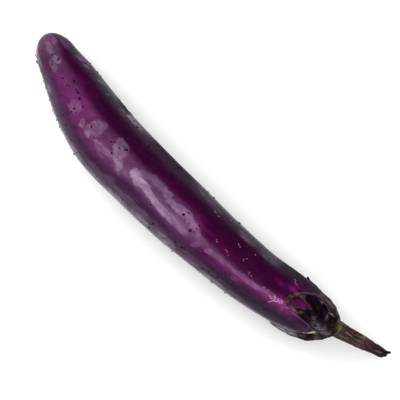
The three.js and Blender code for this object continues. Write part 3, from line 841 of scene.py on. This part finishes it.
window = {
    # x and y of the torn window's outline, seen from above
    "outline": [
        (79.9, 4.2), (80, 7.4), (81.3, 10.2), (84, 11.6), (88.5, 11.7), (93.7, 10.9), (92.5, 9.1), (86.2, 5),
        (81.8, 2.9),
    ],
    # where dried tissue is looked for: the middle x, the reach from it and the least height
    "middleX": 86,
    "reach": 12,
    "above": 22,
    "steps": 96,
    "rimRadius": 0.5,
    "rimLumps": [(2.2, 0.22), (0.9, 0.16)],      # size, share of the radius
    "rimSides": 12,
    "cutDepth": 30,
}


def midrib(angle):
    return sum(bellCurve(angleApart(angle, middle), calyx["midribHalfAngle"])
               for middle in calyx["sepalMiddles"])


def calyxLift(angle, share):
    # how far the inner face stands off the skin, fading from the edge to the shoulder
    atAngle, halfAngle, height = calyx["liftedTip"]
    tip = height * bellCurve(angleApart(angle, atAngle), halfAngle)
    return calyx["gap"] + (calyx["sepalCurl"] + tip) * (1 - share) ** calyx["curlSharpness"]


def calyxThickness(angle, share):
    plain = calyx["edgeThickness"] + (calyx["crownThickness"] - calyx["edgeThickness"]) * share
    swelling = (calyx["shoulder"][1] - calyx["crownThickness"]) * share ** calyx["shoulderSharpness"]
    rounded = np.sqrt(np.clip(share / 0.04, 0.15, 1))
    ribFade = np.sqrt(np.sin(math.pi * (0.1 + 0.9 * share)))
    return (plain + swelling) * rounded + calyx["midribHeight"] * midrib(angle) * ribFade * rounded


# the stem, where the calyx's crown ends
stem = {
    # x, across, height, radius
    "stations": [
        (115.9, 12.6, 18.4, 5.4), (124.9, 14.9, 16.2, 4.6), (135.7, 17.9, 12.6, 4.1), (145.6, 20.8, 9.2, 3.1),
        (154.3, 22.8, 6.4, 2.5),
    ],
    "ribs": 5,
    "ribHeight": 0.42,
    "twist": 50,
    "columns": 150,
    "rows": 210,
    "endRows": 8,      # those that close either end
    # x, y and height of the strand of bark at the cut
    "hook": [(152.6, 24.2, 6.8), (154.5, 25.1, 7.4), (155.4, 25.9, 7.8), (154.9, 26.6, 8.2)],
    "hookRadius": 0.95,
    "hookSteps": 28,
    "hookSides": 12,
}
stemSeatX = stem["stations"][0][0]
stemEndX = stem["stations"][-1][0]


def stemMiddle(x):
    return np.stack([x, smoothThrough(stem["stations"], x, 1), smoothThrough(stem["stations"], x, 2)], -1)


def calyxRows():
    # out from the middle of the inside to the edge, back over the outside, and in to the stem's seat
    angle = ringAngles(calyx["columns"])
    edge = calyxEdge(angle)
    shoulderX, shoulderThickness = calyx["shoulder"]
    shoulder = ringFrame(fruitMiddle, shoulderX)
    shoulderCentre = shoulder[0] + shoulder[1] * shoulderThickness
    seat = ringFrame(stemMiddle, stemSeatX)
    seatCentre = seat[0] - seat[1] * calyx["gap"]
    inward = np.linspace(0, math.pi / 2, calyx["innerRows"] + 1)[:, None]
    x = crownX - (crownX - edge) * (1 - np.cos(inward))
    fromEdge = np.clip((x - edge) / (shoulderX - edge), 0, 1)
    inner = offSkin(x, angle, calyxLift(angle, fromEdge))
    inner[0] = fruitMiddle(crownX) + ringFrame(fruitMiddle, crownX)[1] * calyx["gap"]
    backward = np.linspace(0, 1, calyx["outerRows"])[:, None] ** calyx["edgeCrowding"] + 0 * angle
    outer = offSkin(edge + (shoulderX - edge) * backward, angle,
                    calyxLift(angle, backward) + calyxThickness(angle, backward))
    inmost = np.arange(1, calyx["crownRows"] + 1)[:, None] / calyx["crownRows"] + 0 * angle
    share = inmost[..., None]
    outward = unit(outwards(shoulder, angle) * (1 - share) + outwards(seat, angle) * share)
    radius = smoothThrough(calyx["crownRings"], inmost) + calyx["crownRidge"] * midrib(angle)
    crown = shoulderCentre * (1 - share) + seatCentre * share + outward * radius[..., None]
    closing = seatCentre + (crown[-1] - seatCentre) * np.array(calyx["closing"])[:, None, None]
    shares = [-fromEdge, backward, 1 + inmost, np.full(closing.shape[:2], 2.5)]
    return np.concatenate([inner, outer, crown, closing]), np.concatenate(shares)


def closedCurve(corners, steps):
    # a smooth closed line through the corners
    corners = np.array(corners, float)
    place = np.arange(steps) / steps * len(corners)
    start = place.astype(int)
    t = (place - start)[:, None]
    before, here, following, beyond = [corners[(start + k) % len(corners)] for k in (-1, 0, 1, 2)]
    bend = 2 * before - 5 * here + 4 * following - beyond
    twist = 3 * here - before - 3 * following + beyond
    return 0.5 * (2 * here + (following - before) * t + bend * t ** 2 + twist * t ** 3)


windowLine = closedCurve(window["outline"], window["steps"])


def cutWindow(mesh):
    outline, count = windowLine[::-1], len(windowLine)
    low = np.column_stack([outline, np.full(count, fruitMiddle(outline[0, 0])[2])])
    high = low + [0, 0, window["cutDepth"]]
    walls = [[i, (i + 1) % count, count + (i + 1) % count, count + i] for i in range(count)]
    ends = [list(range(count))[::-1], list(range(count, 2 * count))]
    cutter = addObject("cutter", meshOf("cutter", np.vstack([low, high]), walls + ends))
    holder = addObject("holder", mesh)
    cut = holder.modifiers.new("window", "BOOLEAN")
    cut.operation = "DIFFERENCE"
    cut.solver = "EXACT"
    cut.object = cutter
    cutMesh = bpy.data.meshes.new_from_object(holder.evaluated_get(bpy.context.evaluated_depsgraph_get()))
    name = mesh.name
    for piece in (cutter, holder):
        bpy.data.meshes.remove(piece.data)
    cutMesh.name = name
    cutMesh.shade_smooth()
    return cutMesh


def calyxCup():
    rows, shares = calyxRows()
    outer = np.clip(shares, 0, 1)
    relief = np.zeros(shares.shape)
    for long, wide, atEdge, atCrown in calyxLook["creases"]:
        ridge = 1 - 2 * np.abs(grain(rows, (long, wide), long))
        relief += (atEdge + (atCrown - atEdge) * outer) * ridge
    size, atEdge, atCrown = calyxLook["lumps"]
    relief += (atEdge + (atCrown - atEdge) * outer) * grain(rows, size, 2)
    size, height = calyxLook["edgeWave"]
    wave = height * grain(rows, size, 9) * np.clip(1 - np.abs(shares) * 6, 0, 1)
    # no relief on the inside, little at the edge and none at the stem's seat
    fade = (shares > 0) * np.clip(outer / 0.05, 0.2, 1) * np.clip((2.15 - shares) / 0.15, 0, 1)
    rows = pushOut(rows, relief * fade)
    rows[..., 2] = np.maximum(rows[..., 2] + np.abs(wave), calyxLook["offTable"])
    return cutWindow(meshFromRows("calyxCup", rows))


def spotsFromAbove(points, spots):
    # how far spots of the upper side cover each point, with ragged borders
    covered = np.zeros(len(points))
    size, far = calyxLook["spotStray"]
    stray = points[:, :2] + far * np.stack([grain(points, size, seed) for seed in (11, 12)], -1)
    for atX, atY, along, across, lean, strength in spots:
        turn = math.radians(lean)
        away = (stray - [atX, atY]) @ [[math.cos(turn), -math.sin(turn)], [math.sin(turn), math.cos(turn)]]
        covered = np.maximum(covered, strength * np.exp(-np.sum((away / [along, across]) ** 2, -1)))
    return covered * (points[:, 2] > calyxLook["spotsAbove"])


def paintCalyx(mesh):
    points = pointsOf(mesh)
    x, angle = placeOnSkin(points)
    toWindow = np.full(len(points), 99.0)
    near = (np.abs(points[:, 0] - window["middleX"]) < window["reach"]) & (points[:, 2] > window["above"])
    toWindow[near] = np.linalg.norm(points[near, None, :2] - windowLine, axis=2).min(1)
    inside = offEdge(np.minimum(x, calyxLook["edgeUpTo"]), angle)
    wide, narrow = calyxLook["driedReach"]
    dried = wide + (narrow - wide) * smoothStep(points[:, 0], *calyxLook["driedNarrows"])
    ragged = grain(points, 1.5, 5)
    mauve = 1 - smoothStep(inside + 0.4 * ragged, *calyxLook["mauveEnds"])
    broad, fine = [1 - np.abs(grain(points, (long, wide), long))
                   for long, wide, _, _ in calyxLook["creases"][:2]]
    paint(
        mesh,
        edge=1 - smoothStep(inside + 0.2 * ragged, *calyxLook["edgeEnds"]),
        mauve=mauve * riseAndFall(angle, calyxLook["mauveAngles"]),
        dried=1 - smoothStep(toWindow + 0.8 * ragged, 0.5 * dried, dried),
        crown=smoothStep(points[:, 0], *calyxLook["crownFrom"]),
        # the creases' ridges and the folds' tops, where the painted sheen goes
        crease=np.clip(broad + fine - 1, 0, 1),
        fold=np.maximum(smoothStep(fine, 0.72, 0.95), 0.8 * smoothStep(broad, 0.8, 0.97)),
        **{kind: spotsFromAbove(points, spots) for kind, spots in calyxLook["spots"].items()},
    )


def driedTone(tree):
    return ramp(tree, speckle(tree, 2.4, detail=5, lumpiness=0.75), calyxLook["dried"])


def calyxMaterial():
    material, tree = newMaterial("driedLeatheryCalyx", IOR=1.09)
    # lighter on the creases' ridges, a painted sheen, and darker between them, a painted shade
    ridges = remap(tree, painted(tree, "crease"), 0.55, 0.95)
    streaks = lumps(tree, 0.9, 0.43, 0.56, toHigh=0.45, stretch=0.35, detail=4)
    grains = lumps(tree, 0.45, 0.38, 0.6, 0.35, 1)
    areas = combine(tree, ridges, lumps(tree, 3.5, 0.42, 0.62))
    colour = mixTones(tree, areas, calyxLook["leather"], calyxLook["sheen"])
    colour = cover(tree, colour, "rust", calyxLook["rust"])
    stray = lumps(tree, 2.2, 0.58, 0.72, toHigh=0.4, stretch=0.6, detail=5)
    stray = combine(tree, stray, painted(tree, "crown"))
    # ash-grey on the folds' tops and in the spots: partly pale dried streaks, partly a painted sheen
    ashSheen = combine(tree, painted(tree, "ashSheen"), stray, "MAXIMUM")
    folds = combine(tree, painted(tree, "fold"), streaks, "MAXIMUM")
    onFolds = combine(tree, ashSheen, combine(tree, folds, grains))
    colour = mixTones(tree, onFolds, colour, calyxLook["ashSheen"])
    colour = cover(tree, colour, "tan", calyxLook["tan"], grains)
    colour = cover(tree, colour, "edge", calyxLook["edge"], lumps(tree, 1.4, 0.35, 0.6))
    colour = cover(tree, colour, "mauve", calyxLook["mauve"])
    colour = cover(tree, colour, "dried", driedTone(tree))
    patchy = lumps(tree, 1.4, 0.3, 0.5, 0.5, 1)
    for layer in ("pale", "olive", "pink"):
        colour = cover(tree, colour, layer, calyxLook[layer], patchy)
    connect(tree, BaseColor=colour, Roughness=lumps(tree, 1.2, toLow=0.35, toHigh=0.6))
    roughen(tree, 0.6, 0.18, 0.8, stretch=0.35, detail=5)
    return material


def windowRim():
    x, y = windowLine.T
    _, middleY, middleHeight = fruitMiddle(x).T
    sepal = fruitRadius(x) + calyx["gap"] + calyx["edgeThickness"]
    path = np.column_stack([x, y, middleHeight + np.sqrt(sepal ** 2 - (y - middleY) ** 2)])
    lumpy = sum(share * grain(path, size, seed) for seed, (size, share) in enumerate(window["rimLumps"], 1))
    radii = window["rimRadius"] * (1 + lumpy)
    rings = rowsOfTube(path, radii, window["rimSides"], closed=True)
    here = np.arange(rings.size // 3).reshape(rings.shape[:2])
    return meshOf("calyxWindowRim", rings.reshape(-1, 3), quadsBetween(here, np.roll(here, -1, axis=0)))


def rimMaterial():
    material, tree = newMaterial("driedRim", IOR=1.25, Roughness=0.6)
    connect(tree, BaseColor=driedTone(tree))
    roughen(tree, 0.5, 0.12, 0.8)
    return material


calyxMesh = calyxCup()
paintCalyx(calyxMesh)
standFor(calyxMesh, calyxMaterial(), "calyx_skin", "calyx")
standFor(windowRim(), rimMaterial(), "calyx_skin", "calyx")

stemLook = {
    # place from 0 at the calyx to 1 at the cut, screen colour
    "bark": [(0, "544a28"), (0.05, "5a5030"), (0.08, "4a3828"), (0.12, "3a281e"), (0.2, "3c2828"),
             (0.3, "3a2828"), (0.42, "443430"), (0.5, "4a383a"), (0.56, "4c2832"), (0.66, "3c1c28"),
             (0.74, "2e2224"), (0.89, "201c1a"), (0.96, "0e0c0c"), (1, "080606")],
    "green": "6e6636",
    "greenAt": (0.03, 40, 0.055, 75),      # share along, angle, reach, spread
    # dark in the grooves and in the creases' hollows, a painted shade
    "crack": "1a0a0c",
    # lighter on the ridges, a painted highlight
    "ridge": "664f4a",
    # x, y, half width along grooves and light ridges seen from above
    "grooves": [
        [(120.5, 18.6, 0.25), (124, 18.6, 0.35), (128, 19.3, 0.3), (133, 20.9, 0.25)],
        [(120.6, 17.2, 0.2), (125, 17.1, 0.25), (129.5, 17.4, 0.35), (132, 18.3, 0.4), (134.5, 19.1, 0.3)],
        [(137, 21, 0.3), (136.9, 19.2, 0.35), (138.4, 18.2, 0.3), (141, 17.9, 0.4)],
        [(119.8, 17.4, 0.25), (119.5, 15, 0.15), (120.4, 12, 0.25)],
        [(128.2, 16.8, 0.12), (128.5, 13, 0.18)],
        [(129, 14.6, 0.15), (133.5, 15.8, 0.25), (138, 16.9, 0.15)],
        [(121.5, 13.6, 0.1), (127.5, 15, 0.18)],
        [(141, 20.4, 0.15), (146, 21.2, 0.25), (151, 22.6, 0.15)],
        [(145.5, 22.5, 0.3), (146, 20.5, 0.2)],
    ],
    "grooveDepth": 0.3,
    "ridges": [
        [(120.5, 17.9, 0.2), (127.5, 18.3, 0.25)],
        [(121, 19.4, 0.2), (128, 20.1, 0.2)],
        [(129.6, 19.8, 0.4), (133.4, 20.3, 0.6), (136.4, 21.4, 0.9)],
        [(123, 15.4, 0.4), (127.6, 16.2, 0.5)],
        [(133, 17.4, 0.3), (137.4, 18, 0.35)],
        [(147, 20.6, 0.5), (151.5, 22.2, 0.6)],
        [(121, 11, 0.4), (127, 12.8, 0.3)],
    ],
    "creases": [(12, 1.3, 0.3), (5, 0.7, 0.16), (1.5, 0.45, 0.06)],
    "cutSlant": 1.2,      # over the last tenth of the stem
    "lineStray": (1.5, 0.25),      # the lumps that grooves and ridges stray with, and how far
}


def onStemTop(points, kind):
    # 1 on the grooves or ridges drawn on the upper side
    size, far = stemLook["lineStray"]
    straying = points + far * np.stack([grain(points, size, seed) for seed in (1, 2, 3)], -1)
    drawn = np.max([nearLine(straying, line) for line in stemLook[kind]], axis=0)
    return drawn * (points[:, 2] > stemMiddle(points[:, 0])[:, 2])


def stemStalk():
    angle, ends = ringAngles(stem["columns"]), stem["endRows"]
    row = np.arange(stem["rows"] + 1)[:, None]
    share = np.clip((row - ends) / (stem["rows"] - 2 * ends), 0, 1)
    x = stemSeatX + (stemEndX - stemSeatX) * share
    ring = ringFrame(stemMiddle, x)
    closing = np.sin(np.minimum(np.minimum(row, stem["rows"] - row), ends) / ends * math.pi / 2)
    rib = stem["ribHeight"] * np.cos(np.radians(angle * stem["ribs"] + stem["twist"] * share))
    radius = (smoothThrough(stem["stations"], x, 3) + rib) * closing
    slant = stemLook["cutSlant"] * np.maximum(share - 0.9, 0) * 10 * np.sin(np.radians(angle)) * closing
    rings = ring[0] + ring[1] * slant[..., None] + outwards(ring, angle) * radius[..., None]
    relief = sum(height * (1 - 2 * np.abs(grain(rings, (long, wide), wide)))
                 for long, wide, height in stemLook["creases"])
    relief -= stemLook["grooveDepth"] * onStemTop(rings.reshape(-1, 3), "grooves").reshape(relief.shape)
    fade = np.ones(row.shape)
    fade[:ends] = 0
    fade[-ends:, 0] = np.linspace(1, 0.2, ends)
    return meshFromRows("stemStalk", pushOut(rings, relief * fade))


def paintStem(mesh):
    points = pointsOf(mesh)
    share = np.clip((points[:, 0] - stemSeatX) / (stemEndX - stemSeatX), 0, 1.2)
    ring = ringFrame(stemMiddle, np.clip(points[:, 0], stemSeatX, stemEndX))
    crease = sum(np.abs(grain(points, (long, wide), wide)) for long, wide, _ in stemLook["creases"][:2])
    paint(
        mesh,
        length=share / 1.02,
        green=spotOn(share, angleRound(ring, points), *stemLook["greenAt"]),
        # painted shade in the grooves and hollows, painted highlight on the ridges
        crack=np.maximum(onStemTop(points, "grooves"), 0.8 * smoothStep(crease, 0.6, 1)),
        ridge=np.maximum(onStemTop(points, "ridges"), 0.6 - 0.6 * smoothStep(crease, 0.05, 0.25)),
    )


def stemMaterial():
    material, tree = newMaterial("ribbedBark", IOR=1.2)
    stray = lumps(tree, 4, 0, 1, -0.06, 0.06)
    colour = ramp(tree, combine(tree, stray, painted(tree, "length"), "ADD"), stemLook["bark"])
    colour = cover(tree, colour, "green", stemLook["green"], lumps(tree, 1.6, 0.3, 0.55))
    # the ridges painted lighter as a highlight, the grooves painted darker as shade
    colour = cover(tree, colour, "ridge", stemLook["ridge"], 0.7)
    colour = cover(tree, colour, "crack", stemLook["crack"])
    shade = lumps(tree, 0.8, toLow=0.7, toHigh=1.3, stretch=0.3)
    rough = lumps(tree, 1.5, toLow=0.5, toHigh=0.75)
    connect(tree, BaseColor=scaleTone(tree, colour, shade), Roughness=rough)
    roughen(tree, 0.5, 0.15, 0.8, stretch=0.25, detail=5)
    return material


def stemSplinter():
    # the curled strand of bark left at the cut
    corners = [(place, *corner) for place, corner in enumerate(stem["hook"])]
    place = np.linspace(0, corners[-1][0], stem["hookSteps"])
    path = np.column_stack([smoothThrough(corners, place, column) for column in (1, 2, 3)])
    taper = np.sqrt(np.clip(1 - (place / place[-1]) ** 6, 0, 1))
    radii = stem["hookRadius"] * (1 + 0.25 * grain(path, 0.9)) * taper
    radii[0] = 0
    return meshFromRows("stemSplinter", rowsOfTube(path, radii, stem["hookSides"]))


bark = stemMaterial()
stemMesh = stemStalk()
splinter = stemSplinter()
for mesh in (stemMesh, splinter):
    paintStem(mesh)
    standFor(mesh, bark, "stem_bark", "stem")

# the floor and the light
floorLook = {"size": 6, "colour": "f8f8f8", "roughness": 0.9}
# a white sky that lights everything and hardly shows in the gloss
skyLook = {"colour": "ffffff", "strength": 1.18, "inGloss": 0.08}
# tilt is off straight up; azimuth 0 is towards +X and -90 towards -Y; size is (level side, other side)
lamps = [
    # name, azimuth, tilt, distance, size, watts, what sees it
    ("broadPanel", -90, 30, 1500, (1700, 1300), 3, "gloss"),
    ("stripPanel", -76, 28, 1600, (560, 600), 14, "gloss"),
    ("noseEndPanel", 176, 64, 1600, (1000, 1200), 20, "diffuse"),
    ("noseGlossPanel", 180, 64, 1600, (1000, 1200), 5, "gloss"),
    ("stemEndPanel", 0, 64, 1600, (1000, 1200), 3, "gloss"),
]


def makeFloor():
    bpy.ops.mesh.primitive_plane_add(size=floorLook["size"])
    floor = bpy.context.object
    floor.name = "floor"
    look = {"BaseColor": tone(floorLook["colour"]), "Roughness": floorLook["roughness"]}
    material, _ = newMaterial("paleFloor", SpecularIORLevel=0, **look)
    floor.data.materials.append(material)


def makeSky():
    sky = bpy.data.worlds.new("sky")
    sky.use_nodes = True
    tree = sky.node_tree
    background = tree.nodes["Background"]
    background.inputs["Color"].default_value = tone(skyLook["colour"])
    mirrored = addNode(tree, "LightPath").outputs["Is Glossy Ray"]
    strength = remap(tree, mirrored, 0, 1, skyLook["strength"], skyLook["inGloss"])
    tree.links.new(strength, background.inputs["Strength"])
    bpy.context.scene.world = sky


def makeLamps():
    for name, azimuth, tilt, distance, size, watts, seenBy in lamps:
        tilt, azimuth = math.radians(tilt), math.radians(azimuth)
        way = Vector((math.sin(tilt) * math.cos(azimuth), math.sin(tilt) * math.sin(azimuth), math.cos(tilt)))
        data = bpy.data.lights.new(name, "AREA")
        data.shape = "RECTANGLE"
        data.size, data.size_y = [side * millimetre for side in size]
        data.energy = watts
        holder = addObject(name, data)
        holder.location = way * distance * millimetre
        holder.rotation_euler = way.to_track_quat("Z", "Y").to_euler()
        holder.visible_diffuse = seenBy == "diffuse"
        holder.visible_glossy = seenBy == "gloss"


makeSky()
bpy.context.scene.view_settings.view_transform = "Standard"
makeFloor()
makeLamps()
print("floor and lamps are up")
